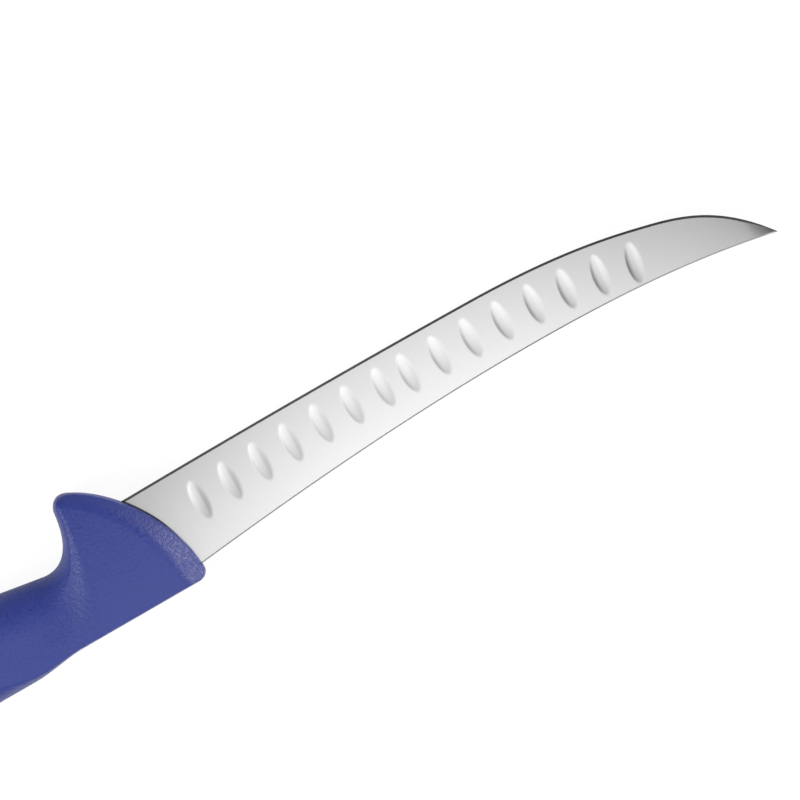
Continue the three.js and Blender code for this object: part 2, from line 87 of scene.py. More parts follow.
# Ground lines along the blade, in the order of its section's corners, and the finishes between them
SPINE_LINE, CHAMFER_LINE, SHOULDER_LINE, EDGE_LINE = range(4)
FLAT_FINISH, BEVEL_FINISH, SPINE_SHADED_FINISH = range(3)

# Meshes: how near places count as one, and the angle from which an edge stays sharp
SKIN_WELD = 1e-5
WELD = 1e-4
LINE_TOLERANCE = 0.002
CREASE_ANGLE = math.radians(40)

# Mesh of the blade: steps along it, and rows across its faces measured from the bevel's shoulder
STATION_STEP = 1.5
HEEL_STEP = 0.5
HOLLOW_STEP = 0.3
TIP_STEP = 0.6
BAND_START = 1.0
BAND_END = 18.0
BAND_SHARE = 0.9
BAND_ROWS = 34
SPINE_ROWS = 3

# Tang inside the handle; PIN_REACH is the length, in half thicknesses, of the pins that cut its holes
TANG_ROOT = HEEL + 5.0
TANG_END = -102.0
TANG_LOW = 1.5
TANG_HEIGHT = 15.0
TANG_TAPER = 2.0
TANG_CORNER = 3.0
TANG_CORNER_STEPS = 6
TANG_HOLES = 3
TANG_HOLE_RADIUS = 3.0
TANG_HOLE_SIDES = 40
PIN_REACH = 4
MOULD_GAP = 0.3
MOUTH_RUN_OUT = 4.0

# Painted shade: a dark line on the steel along the guard's front, where the handle's front wall shades the
# steel; it thins out towards the nose
SHADE_LINE_WIDTH = 0.9
SHADE_LINE_START = 1.0
SHADE_LINE_FULL = 20.0
SHADE_LINE_COLOUR = (0.06, 0.06, 0.062, 1.0)
SHADE_LINE_FADE = (0.3, 0.6)

# Handle outline: places on the guard side and the underside, as (x, y) or (x, y, slope)
NOSE = (0.0, -1.5)
CROWN_START = (-25.4, 39.2)
CROWN_BACK = (-31.7, 35.5)
FINGER_REST = (-44.4, 20.3, -0.155)
PALM = (-89.4, 25.7, 0.0)
WAIST = (-111.4, 23.6, 0.0)
FLARE = (-125.4, 26.6, -0.3)
BUTT = (-134.0, 11.0)
THUMB_FRONT = (-3.4, -4.8, 0.0)
THUMB_MIDDLE = (-25.4, -4.8, 0.0)
THUMB_BACK = (-44.4, -4.8, 0.0)
PALM_FRONT = (-62.4, -6.5, 0.0)
PALM_UNDER = (-89.4, -6.5, 0.0)
FLARE_UNDER = (-125.4, -4.4, -0.14)

# Handle form across its thickness; within END_BLEND the butt's rounding turns from palm to finger side
CHEEK = 11.0
CAMBER = 0.7
CAMBER_MIDDLE = 13.0
CAMBER_REACH = 18.0
BOLSTER_ROUND = 0.5
CROWN_ROUND = 2.4
FRONT_ROUND = 0.35
FINGER_ROUND = 15.0
PALM_ROUND = 6.0
GRIP_START = 50.0
PALM_START = 85.0
END_BLEND = (0.2, 0.8)
FRONT_BEVEL_WIDTH = 7.4
FRONT_BEVEL_TOP = 3.0
FRONT_BEVEL_SLOPE = 0.82
FRONT_BEVEL_FULL = 1.0
FRONT_BEVEL_NOSE_SHARE = 0.88
CREASE_BLEND = 1.6
RIDGE_BACK = 28.8
RIDGE_SWEEP = 14.6
RIDGE_SOFT = 7.0
SCOOP_DEPTH = 1.7
SCOOP_LOW_DEPTH = 0.6
SCOOP_FULL_HEIGHT = 12.2
SCOOP_FALL = 9.0
SCOOP_RISE = 26.0
HANDLE_ROWS = 80
RIM_DETAIL = 12
CURVE_STEPS = 60
FRONT_STEPS = 400

# Camera, straight above the knife, and the part of the plan that it sees
VIEW_CENTRE = (0.09959, -0.0014, 0.011)
VIEW_WIDTH = 0.2456
VIEW_TURN = -30
CAMERA_HEIGHT = 1.2
SENSOR = 36.0
CLIP_END = 10.0

# Floor: its grey, the white glow that the camera sees, the share of that glow in its look, and how far the
# glow also shows in gloss, where it would wash out the rims at full strength
WHITE = (1, 1, 1, 1)
FLOOR_SIZE = 3.0
FLOOR_DROP = 0.0001
FLOOR_GREY = 0.8
FLOOR_GLOW = 1.08
GLOW_SHARE = 0.85
MIRRORED_GLOW = 0.35

# Light: the wall round the studio by height (0 at the horizon, 1 overhead) and by side (0 towards the
# spine, 0.5 towards tip and butt, 1 towards the edge), and the soft box above the middle of the blade
WALL_LEVEL = 2.0
WALL_HEIGHTS = [(0.0, 0.1), (0.88, 0.04), (0.14, 0.3), (0.32, 0.92), (0.64, 0.72), (0.78, 0.15)]
WALL_SIDES = [(0.0, 0.45), (1.0, 0.2), (0.3, 0.55), (0.5, 1.0), (0.64, 0.5), (0.82, 0.36)]
WALL_TILT = 0.25
SMALLEST_REACH = 0.0001
BOX_LEVEL = 1.98
BOX_WIDTH = 0.6
BOX_PLACE = (0.092, -0.139, 0.361)
BOX_MIDDLE = (0.5, 0.5, 0.0)
BOX_FADE = (0.137, 0.497)
TIP_LIGHT = {"level": 14.0, "width": 0.25, "place": (0.78, 0.07, 0.15), "colour": (1.0, 0.93, 0.86)}
BUTT_LIGHT = {"level": 8.2, "width": 0.3, "place": (-0.54, 0.0, 0.47), "colour": (1.0, 1.0, 1.0)}


def mix(a, b, share):
    return a + (b - a) * share


def smooth(value, low, high):
    t = min(max((value - low) / (high - low), 0.0), 1.0)
    return t * t * (3 - 2 * t)


def soft_lesser(a, b, blend):
    """Lesser of two heights, with a rounded crease where they meet."""
    overlap = max(blend - abs(a - b), 0) / blend
    return min(a, b) - overlap * overlap * blend / 4


def height_at(places, x):
    """Height at x of the smooth line through places that are given as (x, y, slope)."""
    for (x0, y0, slope0), (x1, y1, slope1) in zip(places, places[1:]):
        if x <= x1:
            break
    width = x1 - x0
    t = (x - x0) / width
    start = (1 + 2 * t) * (1 - t) ** 2 * y0 + t * (1 - t) ** 2 * width * slope0
    return start + t * t * (3 - 2 * t) * y1 + t * t * (t - 1) * width * slope1


def slope_at(places, x, reach=0.01):
    return (height_at(places, x + reach) - height_at(places, x - reach)) / (2 * reach)


def nearest_place(places):
    """Tree that finds the nearest of the places in the plan and its distance."""
    tree = KDTree(len(places))
    for i, place in enumerate(places):
        tree.insert(place.to_3d(), i)
    tree.balance()
    return tree


def new_piece(name, bm):
    mesh = bpy.data.meshes.new(name)
    bm.to_mesh(mesh)
    bm.free()
    piece = bpy.data.objects.new(name, mesh)
    bpy.context.scene.collection.objects.link(piece)
    return piece


def combine(piece, tool, operation):
    """Joins the tool to the piece or cuts it out of it, and uses the tool up."""
    modifier = piece.modifiers.new(operation, "BOOLEAN")
    modifier.operation = operation
    modifier.solver = "EXACT"
    modifier.material_mode = "INDEX"
    modifier.object = tool
    shaped = piece.evaluated_get(bpy.context.evaluated_depsgraph_get())
    mesh = bpy.data.meshes.new_from_object(shaped)
    piece.modifiers.clear()
    rough, piece.data = piece.data, mesh
    bpy.data.meshes.remove(rough)
    bpy.data.objects.remove(tool)


def set_in_frame(piece):
    """Places the finished mesh in the part's frame, smooth but for edges sharper than the crease angle."""
    bm = bmesh.new()
    bm.from_mesh(piece.data)
    for face in bm.faces:
        face.smooth = True
    for edge in bm.edges:
        edge.smooth = edge.smooth and edge.calc_face_angle(0.0) < CREASE_ANGLE
    bmesh.ops.transform(bm, matrix=PLAN_TO_FRAME, verts=bm.verts)
    bm.to_mesh(piece.data)
    bm.free()


# Blade

BEVEL_SLOPE = (EDGE_THICKNESS - EDGE_LAND) / 2 / BEVEL_WIDTH


def blade_section(x, grow=0.0):
    """Half of the blade's section at x as (y, z) corners: spine, chamfer, bevel shoulder and edge."""
    low, high = height_at(SPINE, x), height_at(EDGE, x)
    square = math.hypot(1, slope_at(EDGE, x))
    taper = mix(SPINE_THICKNESS, TIP_THICKNESS, min(max(x / BLADE_LENGTH, 0), 1)) / 2
    shoulder = high - min(BEVEL_WIDTH * square, BEVEL_TIP_SHARE * (high - low))
    flank = EDGE_LAND / 2 + BEVEL_SLOPE * (high - shoulder) / square
    back = soft_lesser(taper, flank + TIP_TILT * (shoulder - low), TIP_BLEND)
    chamfer = min(SPINE_CHAMFER, (high - low) / 4)
    return [
        (low - grow, back - min(chamfer, back / 2) + grow),
        (low + chamfer - grow, back + grow),
        (shoulder, flank + grow),
        (high + grow, EDGE_LAND / 2 + grow),
    ]


def hollow_rows():
    """Places of the hollows along the near face, and of those between them on the far face."""
    near = [FIRST_HOLLOW + HOLLOW_PITCH * i for i in range(HEEL_GROUP)]
    near += [near[-1] + GROUP_STEP + HOLLOW_PITCH * i for i in range(TIP_GROUP)]
    far = [(a + b) / 2 for a, b in zip(near, near[1:])]
    return near, far


def hollow_frames(places):
    """Middle of each hollow and the direction of the edge beside it."""
    frames = []
    for x in places:
        heel_share = min(max(1 - (x - FIRST_HOLLOW) / HEEL_SETBACK_RUN, 0), 1)
        y = height_at(EDGE, x) - HOLLOW_SETBACK - HEEL_SETBACK * heel_share
        frames.append((Vector((x, y)), Vector((1, slope_at(EDGE, x))).normalized()))
    return frames


def hollow_depth(x, y, frames):
    """Depth of the ground hollows at a place on the face."""
    deepest = 0.0
    for middle, along in frames:
        offset = Vector((x, y)) - middle
        if abs(offset.x) > HOLLOW_LENGTH or abs(offset.y) > HOLLOW_LENGTH:
            continue
        end_share = 1 - (along.cross(offset) / (HOLLOW_LENGTH / 2)) ** 2
        if end_share <= 0:
            continue
        narrowing = math.sqrt(end_share)
        across = along.dot(offset) / (HOLLOW_WIDTH / 2 * narrowing)
        if -1 < across < STEEP_END:
            wall = 1 - ((STEEP_END - across) / (1 + STEEP_END)) ** STEEP_POWER
        elif across >= STEEP_END:
            wall = 1 - smooth(across, FADE_START, FADE_END)
        else:
            wall = 0.0
        deepest = max(deepest, HOLLOW_DEPTH * end_share * wall)
    return deepest


def face_rows(x, fine, grow):
    """Places across one face at x as (y, z), from the spine to the edge."""
    spine, chamfer, shoulder, edge = blade_section(x, grow)
    shares = [0.0, 1.0]
    if fine:
        flat = shoulder[0] - chamfer[0]
        reach = min(BAND_END, flat * BAND_SHARE)
        band = [mix(reach, min(BAND_START, reach / 2), i / BAND_ROWS) / flat for i in range(BAND_ROWS + 1)]
        spine_side = [(1 - band[0]) * i / SPINE_ROWS for i in range(SPINE_ROWS)]
        shares = spine_side + [1 - share for share in band] + [1.0]
    flats = [(mix(chamfer[0], shoulder[0], share), mix(chamfer[1], shoulder[1], share)) for share in shares]
    return [spine, *flats, edge]


def stations(start, end, step):
    count = math.ceil((end - start) / step)
    return [mix(start, end, i / count) for i in range(count)]


def blade_skin(places, fine=False, grow=0.0):
    """Closed skin of the blade over stations along x, grown where it stands for the cavity in the handle."""
    near, far = (hollow_frames(row) for row in hollow_rows())
    half = len(face_rows(places[0], fine, grow))
    loop = 2 * half
    sections = [face_rows(x, fine, grow) for x in places]
    bm = bmesh.new()
    bmesh.ops.create_grid(bm, x_segments=len(places) - 1, y_segments=loop, size=0.5)
    for vert in bm.verts:
        station = round((vert.co.x + 0.5) * (len(places) - 1))
        corner = round((vert.co.y + 0.5) * loop) % loop
        face = 1 if corner < half else -1
        row = corner if face == 1 else loop - 1 - corner
        x, (y, z) = places[station], sections[station][row]
        if fine and 0 < row < half - 1:
            z -= hollow_depth(x, y, near if face == 1 else far)
        vert.co = (x, y, face * z)
    bmesh.ops.remove_doubles(bm, verts=bm.verts, dist=SKIN_WELD)
    bmesh.ops.holes_fill(bm, edges=[edge for edge in bm.edges if edge.is_boundary], sides=loop)
    bmesh.ops.recalc_face_normals(bm, faces=bm.faces)
    return bm


def tang_plate(grow=0.0):
    """Tang with rounded end corners; the plastic runs through its holes."""
    low, high = TANG_LOW - grow, TANG_LOW + TANG_HEIGHT + grow
    root, end = TANG_ROOT + grow, TANG_END - grow
    depth = SPINE_THICKNESS / 2 + grow
    bm = bmesh.new()
    bmesh.ops.create_grid(bm, x_segments=1, y_segments=1, size=0.5)
    end_corners = [vert for vert in bm.verts if vert.co.x < 0]
    for vert in bm.verts:
        taper = TANG_TAPER if vert in end_corners else 0
        y = low + taper if vert.co.y < 0 else high - taper
        vert.co = (end if vert in end_corners else root, y, -depth)
    bmesh.ops.bevel(
        bm, geom=end_corners, offset=TANG_CORNER + grow, segments=TANG_CORNER_STEPS, profile=0.5,
        affect="VERTICES", material=-1,
    )
    raised = bmesh.ops.extrude_face_region(bm, geom=bm.faces[:], use_keep_orig=True)["geom"]
    lifted = [item for item in raised if isinstance(item, bmesh.types.BMVert)]
    bmesh.ops.translate(bm, verts=lifted, vec=(0, 0, 2 * depth))
    bmesh.ops.recalc_face_normals(bm, faces=bm.faces)
    plate = new_piece("tang", bm)
    pins = bmesh.new()
    for hole in range(1, TANG_HOLES + 1):
        place = (mix(HEEL, TANG_END, hole / (TANG_HOLES + 1)), TANG_LOW + TANG_HEIGHT / 2, 0)
        radius = TANG_HOLE_RADIUS - grow
        bmesh.ops.create_cone(
            pins, cap_ends=True, segments=TANG_HOLE_SIDES, radius1=radius, radius2=radius,
            depth=PIN_REACH * depth, matrix=Matrix.Translation(place),
        )
    combine(plate, new_piece("pins", pins), "DIFFERENCE")
    return plate


def ground_line(vert):
    """Number of the blade's ground line that the vertex lies on: spine, chamfer, shoulder or edge."""
    x, y, z = vert.co
    for number, (line_y, line_z) in enumerate(blade_section(x)):
        if abs(y - line_y) < LINE_TOLERANCE and abs(abs(z) - line_z) < LINE_TOLERANCE:
            return number
    return None


def ground_blade():
    """Blade with its tang in one piece, sharp along the ground lines and marked with the line of painted
    shade along the guard's front.
    """
    near, _ = hollow_rows()
    first, last = near[0] - HOLLOW_WIDTH, near[-1] + HOLLOW_WIDTH
    tip = BLADE_LENGTH - TIP_LAND
    places = stations(HEEL, first, HEEL_STEP) + stations(first, last, HOLLOW_STEP)
    places += stations(last, tip, TIP_STEP) + [tip]
    blade = new_piece("ground_blade", blade_skin(places, fine=True))
    combine(blade, tang_plate(), "UNION")
    bm = bmesh.new()
    bm.from_mesh(blade.data)
    bmesh.ops.remove_doubles(bm, verts=bm.verts, dist=WELD)
    for edge in bm.edges:
        a, b = (ground_line(vert) for vert in edge.verts)
        edge.smooth = a is None or a != b
    for face in bm.faces:
        lines = {ground_line(vert) for vert in face.verts}
        face.material_index = FLAT_FINISH
        if lines <= {SHOULDER_LINE, EDGE_LINE}:
            face.material_index = BEVEL_FINISH
        elif lines <= {SPINE_LINE, CHAMFER_LINE}:
            face.material_index = SPINE_SHADED_FINISH
    front = nearest_place(GUARD_FRONT)
    # painted shade: a share on each vertex that darkens the steel along the guard's front, where the
    # handle's wall shades it
    joint_shade = bm.verts.layers.float.new("painted_joint_shade")
    for vert in bm.verts:
        x, y, _ = vert.co
        place, _, distance = front.find((x, y, 0))
        ahead = math.copysign(distance, x - place.x)
        vert[joint_shade] = smooth(y, SHADE_LINE_START, SHADE_LINE_FULL) - ahead / SHADE_LINE_WIDTH
    bm.to_mesh(blade.data)
    bm.free()
    return blade


# Handle


def curve(*controls, steps=CURVE_STEPS):
    return interpolate_bezier(*[Vector(place) for place in controls], steps)


def run(start, end):
    """Smooth line between two places that are given as (x, y, slope)."""
    third = (end[0] - start[0]) / 3
    return curve(
        start[:2],
        (start[0] + third, start[1] + start[2] * third),
        (end[0] - third, end[1] - end[2] * third),
        end[:2],
    )


def evenly(lines, count):
    """Places at equal steps along lines that follow one another."""
    places = lines[0] + [place for line in lines[1:] for place in line[1:]]
    passed = [0.0]
    for a, b in zip(places, places[1:]):
        passed.append(passed[-1] + (b - a).length)
    spaced = []
    for i in range(count + 1):
        goal = passed[-1] * i / count
        k = min(max(bisect_left(passed, goal), 1), len(places) - 1)
        spaced.append(places[k - 1].lerp(places[k], (goal - passed[k - 1]) / (passed[k] - passed[k - 1])))
    return spaced


GUARD_FRONT = curve(NOSE, (0, 13.6), (-12, 32.77), CROWN_START, steps=FRONT_STEPS)
GUARD_CROWN = curve(CROWN_START, (-29.8, 41.31), (-31.7, 36.6), CROWN_BACK)
GUARD_BACK = curve(CROWN_BACK, (-33.3, 20.3), (-41, 19.77), FINGER_REST[:2])
NOSE_UNDER = curve(NOSE, (0, -3.32), (-1.53, -4.8), THUMB_FRONT[:2])
BUTT_GUARD = curve(FLARE[:2], (-129.9, 27.95), (-134, 20), BUTT)
BUTT_UNDER = curve(FLARE_UNDER[:2], (-129.9, -3.77), (-134, 2), BUTT)

# Stretches of the outline: the guard side, the underside opposite, and the columns of the mesh between them
STRETCHES = [
    ([GUARD_FRONT], [NOSE_UNDER, run(THUMB_FRONT, THUMB_MIDDLE)], 110),
    ([GUARD_CROWN, GUARD_BACK], [run(THUMB_MIDDLE, THUMB_BACK)], 64),
    ([run(FINGER_REST, PALM)], [run(THUMB_BACK, PALM_FRONT), run(PALM_FRONT, PALM_UNDER)], 60),
    ([run(PALM, WAIST), run(WAIST, FLARE)], [run(PALM_UNDER, FLARE_UNDER)], 46),
    ([BUTT_GUARD], [BUTT_UNDER], 40),
]


def outline_side(side, detail=1):
    places = []
    for stretch in STRETCHES:
        places += evenly(stretch[side], stretch[2] * detail)[1 if places else 0:]
    return places


def soft_ramp(value, reach):
    """The value where it is above 0, and 0 below, with the corner between rounded over the reach."""
    if abs(value) < reach:
        return (value + reach) ** 2 / (4 * reach)
    return max(value, 0)


def scoop_depth(x, y):
    """Depth of the finger rest, which falls off the ridge behind the guard and fades into the palm."""
    crown, thumb = CROWN_BACK[1], THUMB_BACK[1]
    down = min(max((crown - y) / (crown - thumb), 0), 1)
    behind = soft_ramp(-RIDGE_BACK - RIDGE_SWEEP * down ** 2 - x, RIDGE_SOFT * down ** 2)
    fall = min(max(behind / SCOOP_FALL, 0), 1)
    rise = 1 - smooth(behind, SCOOP_FALL, SCOOP_FALL + SCOOP_RISE)
    depth = mix(SCOOP_LOW_DEPTH, SCOOP_DEPTH, smooth(y, thumb, SCOOP_FULL_HEIGHT))
    return depth * fall * (2 - fall) * rise


FRONT_HEIGHTS = [place.y for place in GUARD_FRONT]


def bevel_depth(x, y):
    """Depth of the bevel towards the blade below the cheek, carried on past its crease."""
    k = min(max(bisect_left(FRONT_HEIGHTS, y), 1), len(GUARD_FRONT) - 1)
    low, high = GUARD_FRONT[k - 1], GUARD_FRONT[k]
    share = min(max((y - low.y) / (high.y - low.y), 0), 1)
    along = (high - low).normalized()
    inset = along.x * (y - mix(low.y, high.y, share)) - along.y * (x - mix(low.x, high.x, share))
    width = mix(FRONT_BEVEL_WIDTH, FRONT_BEVEL_TOP, min(max(y / CROWN_START[1], 0), 1))
    width *= mix(FRONT_BEVEL_NOSE_SHARE, 1, smooth(y, THUMB_FRONT[1], FRONT_BEVEL_FULL))
    return FRONT_BEVEL_SLOPE * (width - inset)


def rounding(inset, border):
    """Share of the thickness that a rounded border leaves at an inset from the rim."""
    inside = min(inset / border, 1)
    return math.sqrt(1 - (1 - inside) ** 2)


def handle_height(x, y, across, guard_inset, under_inset):
    """Half thickness of the handle; across is 0 at the underside and 1 at the guard side."""
    grip = smooth(-x, RIDGE_BACK, GRIP_START)
    front = mix(CROWN_ROUND, FRONT_ROUND, smooth(x, CROWN_BACK[0], CROWN_START[0] + CROWN_ROUND))
    finger = mix(front, FINGER_ROUND, grip)
    bolster = mix(BOLSTER_ROUND, FRONT_ROUND, smooth(x, -FRONT_BEVEL_WIDTH, NOSE[0]))
    palm = mix(bolster, PALM_ROUND, smooth(-x, GRIP_START, PALM_START))
    sides = rounding(guard_inset, finger) * rounding(under_inset, palm)
    end = rounding(min(guard_inset, under_inset), mix(palm, finger, smooth(across, *END_BLEND)))
    camber = CAMBER * ((y - CAMBER_MIDDLE) / CAMBER_REACH) ** 2
    top = CHEEK - camber + soft_lesser(-scoop_depth(x, y), -bevel_depth(x, y), CREASE_BLEND)
    return top * mix(sides, end, smooth(-x, -PALM[0], -FLARE[0]))


def handle_skin():
    """Closed skin of the handle: columns between its two outlines, raised on one side and mirrored."""
    guard, under = outline_side(0), outline_side(1)
    columns = len(guard) - 1
    guard_rim, under_rim = (nearest_place(outline_side(side, RIM_DETAIL)) for side in (0, 1))
    bm = bmesh.new()
    bmesh.ops.create_grid(bm, x_segments=columns, y_segments=HANDLE_ROWS, size=0.5)
    for vert in bm.verts:
        column = round((vert.co.x + 0.5) * columns)
        row = round((vert.co.y + 0.5) * HANDLE_ROWS)
        across = (1 - math.cos(math.pi * row / HANDLE_ROWS)) / 2
        place = under[column].lerp(guard[column], across)
        on_rim = row in (0, HANDLE_ROWS) or column in (0, columns)
        height = 0
        if not on_rim:
            insets = (rim.find(place.to_3d())[2] for rim in (guard_rim, under_rim))
            height = handle_height(place.x, place.y, across, *insets)
        vert.co = (place.x, place.y, height)
    bmesh.ops.mirror(bm, geom=bm.verts[:] + bm.edges[:] + bm.faces[:], merge_dist=WELD, axis="Z")
    bmesh.ops.remove_doubles(bm, verts=bm.verts, dist=WELD)
    bmesh.ops.recalc_face_normals(bm, faces=bm.faces)
    return bm


def moulded_handle():
    """Handle with the cavity that heel and tang leave in it."""
    handle = new_piece("moulded_handle", handle_skin())
    places = stations(HEEL - MOULD_GAP, MOUTH_RUN_OUT, STATION_STEP) + [MOUTH_RUN_OUT]
    mouth = new_piece("mouth", blade_skin(places, grow=MOULD_GAP))
    combine(mouth, tang_plate(MOULD_GAP), "UNION")
    combine(handle, mouth, "DIFFERENCE")
    return handle


# Materials

# Belt lines on the steel: noise per metre across and along them for one line a millimetre
LINE_SCALE = 1000.0
LINE_RUN_SCALE = 30.0
LINE_NOISE = {"Scale": 1.0, "Detail": 3.0, "Roughness": 0.6}
LINE_STRENGTH = 0.25

# Film that handling leaves: its character, its size in metres, and its share in the steel's tone
FILM_NOISE = {"Detail": 4.0, "Roughness": 0.55, "Distortion": 0.6}
STEEL_FILM_SIZE = 0.03
PLASTIC_FILM_SIZE = 0.02
FILM_SHARE = 0.4

# Finishes of the blade, in the order of their numbers: flats, cutting bevel and spine, whose darker tones
# are painted shade along the spine. Lines are counted in a millimetre, their depth is in metres, and
# roughness goes from clean to filmed steel.
STEEL_TONE_RANGE = (0.25, 0.75)
STEELS = [
    {"name": "satin_steel", "tones": (0.65, 0.70), "roughness": (0.20, 0.28), "lines": 5.0, "depth": 6e-6},
    {"name": "honed_steel", "tones": (0.64, 0.72), "roughness": (0.22, 0.30), "lines": 8.0, "depth": 3e-6},
    # painted shade: the spine's darker tones stand in for the shade on its narrow faces
    {"name": "shaded_spine_steel", "tones": (0.42, 0.50), "roughness": (0.24, 0.32), "lines": 8.0, "depth": 3e-6},
]
COOL_CAST = 0.002

# Plastic: its tones, the pebbles of its grain with a finer noise on them, and the gloss between them
PLASTIC_TONES = [(0.021, 0.038, 0.235, 1), (0.028, 0.046, 0.262, 1)]
PLASTIC_TONE_RANGE = (0.3, 0.7)
PEBBLE_NOISE = {"Scale": 1100.0, "Detail": 2.0, "Roughness": 0.5}
FINE_NOISE = {"Scale": 3600.0, "Detail": 1.0}
FINE_SHARE = 0.3
GRAIN_STRENGTH = 0.8
GRAIN_DEPTH = 0.00022
GLOSS_RANGE = (0.35, 0.65)
GRAIN_ROUGHNESS = (0.36, 0.54)
FILM_ROUGHNESS = (-0.05, 0.05)


def add(tree, kind, inputs=None, **settings):
    """New node with its settings, and its inputs set to values or joined to other nodes' outputs."""
    node = tree.nodes.new(kind)
    for name, value in settings.items():
        setattr(node, name, value)
    for name, value in (inputs or {}).items():
        if isinstance(value, bpy.types.NodeSocket):
            tree.links.new(value, node.inputs[name])
        else:
            node.inputs[name].default_value = value
    return node


def math_node(tree, operation, a, b=0.0):
    return add(tree, "ShaderNodeMath", {0: a, 1: b}, operation=operation).outputs[0]


def mapped(tree, value, low, high, start=0.0, end=1.0, **settings):
    """A value between start and end brought to the range from low to high."""
    ranges = {"From Min": start, "From Max": end, "To Min": low, "To Max": high}
    return add(tree, "ShaderNodeMapRange", {"Value": value, **ranges}, **settings).outputs["Result"]


def two_tones(tree, value, positions, colours):
    """Colour that goes from the first tone to the second as the value passes the two positions."""
    ramp = add(tree, "ShaderNodeValToRGB", {"Fac": value})
    for i, element in enumerate(ramp.color_ramp.elements):
        element.position = positions[i]
        element.color = colours[i]
    return ramp.outputs["Color"]


def emptied_tree(owner):
    """Node tree of a material, a world or a lamp, with nothing in it."""
    owner.use_nodes = True
    owner.node_tree.nodes.clear()
    return owner.node_tree


def noise_group(name, setting, output):
    """New node group with a place and one setting as its inputs and one value as its output."""
    tree = bpy.data.node_groups.new(name, "ShaderNodeTree")
    tree.interface.new_socket("Vector", in_out="INPUT", socket_type="NodeSocketVector")
    tree.interface.new_socket(setting, in_out="INPUT", socket_type="NodeSocketFloat")
    tree.interface.new_socket(output, in_out="OUTPUT", socket_type="NodeSocketFloat")
    return tree, add(tree, "NodeGroupInput").outputs, add(tree, "NodeGroupOutput").inputs


def grind_lines_group():
    """Fine lines that a belt leaves, across the blade, broken up along their length."""
    tree, source, out = noise_group("grind_lines", "Lines per mm", "Lines")
    across = math_node(tree, "MULTIPLY", source["Lines per mm"], LINE_SCALE)
    along = math_node(tree, "MULTIPLY", source["Lines per mm"], LINE_RUN_SCALE)
    scale = add(tree, "ShaderNodeCombineXYZ", {"X": across, "Y": along, "Z": along}).outputs[0]
    stretched = add(tree, "ShaderNodeVectorMath", {0: source["Vector"], 1: scale}, operation="MULTIPLY")
    noise = add(tree, "ShaderNodeTexNoise", {"Vector": stretched.outputs[0], **LINE_NOISE})
    tree.links.new(noise.outputs["Fac"], out["Lines"])
    return tree


def handling_group():
    """Broad uneven film that use and wiping leave on a surface."""
    tree, source, out = noise_group("handling_film", "Size", "Film")
    scale = math_node(tree, "DIVIDE", 1.0, source["Size"])
    noise = add(tree, "ShaderNodeTexNoise", {"Vector": source["Vector"], "Scale": scale, **FILM_NOISE})
    tree.links.new(noise.outputs["Fac"], out["Film"])
    return tree


def new_material(name):
    material = bpy.data.materials.new(name)
    tree = emptied_tree(material)
    shader = add(tree, "ShaderNodeBsdfPrincipled")
    out = add(tree, "ShaderNodeOutputMaterial")
    tree.links.new(shader.outputs[0], out.inputs["Surface"])
    place = add(tree, "ShaderNodeTexCoord").outputs["Object"]
    return material, tree, shader, place


def steel(lines_group, film_group, name, tones, roughness, lines, depth):
    """Ground stainless steel with belt lines, a film and a painted dark line of shade at the joint with the
    handle.
    """
    material, tree, shader, place = new_material(name)
    belt = add(tree, "ShaderNodeGroup", {"Vector": place, "Lines per mm": lines}, node_tree=lines_group)
    wiped = add(tree, "ShaderNodeGroup", {"Vector": place, "Size": STEEL_FILM_SIZE}, node_tree=film_group)
    height, film = belt.outputs["Lines"], wiped.outputs["Film"]
    tone = add(tree, "ShaderNodeMix", {"Factor": FILM_SHARE, "A": height, "B": film}).outputs[0]
    colours = [(level, level, level + COOL_CAST, 1) for level in tones]
    clean = two_tones(tree, tone, STEEL_TONE_RANGE, colours)
    # painted shade: the dark line on the steel along the guard's front, where the handle's wall shades it
    joint_shade = add(tree, "ShaderNodeAttribute", attribute_name="painted_joint_shade").outputs["Fac"]
    shade_share = mapped(tree, joint_shade, 0.0, 1.0, *SHADE_LINE_FADE)
    shaded_tone = add(tree, "ShaderNodeMix", {"Factor": shade_share, "A": clean, "B": SHADE_LINE_COLOUR}, data_type="RGBA")
    bump = add(tree, "ShaderNodeBump", {"Strength": LINE_STRENGTH, "Distance": depth, "Height": height})
    tree.links.new(shaded_tone.outputs[2], shader.inputs["Base Color"])
    tree.links.new(mapped(tree, film, *roughness), shader.inputs["Roughness"])
    tree.links.new(bump.outputs["Normal"], shader.inputs["Normal"])
    shader.inputs["Metallic"].default_value = 1.0
    return material


def grained_plastic(film_group):
    """Blue moulded plastic with the pebbled grain of an etched mould."""
    material, tree, shader, place = new_material("blue_plastic")
    film = {"Vector": place, "Size": PLASTIC_FILM_SIZE}
    handled = add(tree, "ShaderNodeGroup", film, node_tree=film_group)
    pebbles = add(tree, "ShaderNodeTexNoise", {"Vector": place, **PEBBLE_NOISE}).outputs["Fac"]
    fine = add(tree, "ShaderNodeTexNoise", {"Vector": place, **FINE_NOISE}).outputs["Fac"]
    height = math_node(tree, "ADD", pebbles, math_node(tree, "MULTIPLY", fine, FINE_SHARE))
    colour = two_tones(tree, pebbles, PLASTIC_TONE_RANGE, PLASTIC_TONES)
    grain = {"Strength": GRAIN_STRENGTH, "Distance": GRAIN_DEPTH, "Height": height}
    bump = add(tree, "ShaderNodeBump", grain)
    gloss = mapped(tree, pebbles, *GRAIN_ROUGHNESS, *GLOSS_RANGE)
    uneven = math_node(tree, "ADD", gloss, mapped(tree, handled.outputs["Film"], *FILM_ROUGHNESS))
    tree.links.new(colour, shader.inputs["Base Color"])
    tree.links.new(uneven, shader.inputs["Roughness"])
    tree.links.new(bump.outputs["Normal"], shader.inputs["Normal"])
    return material


# Studio


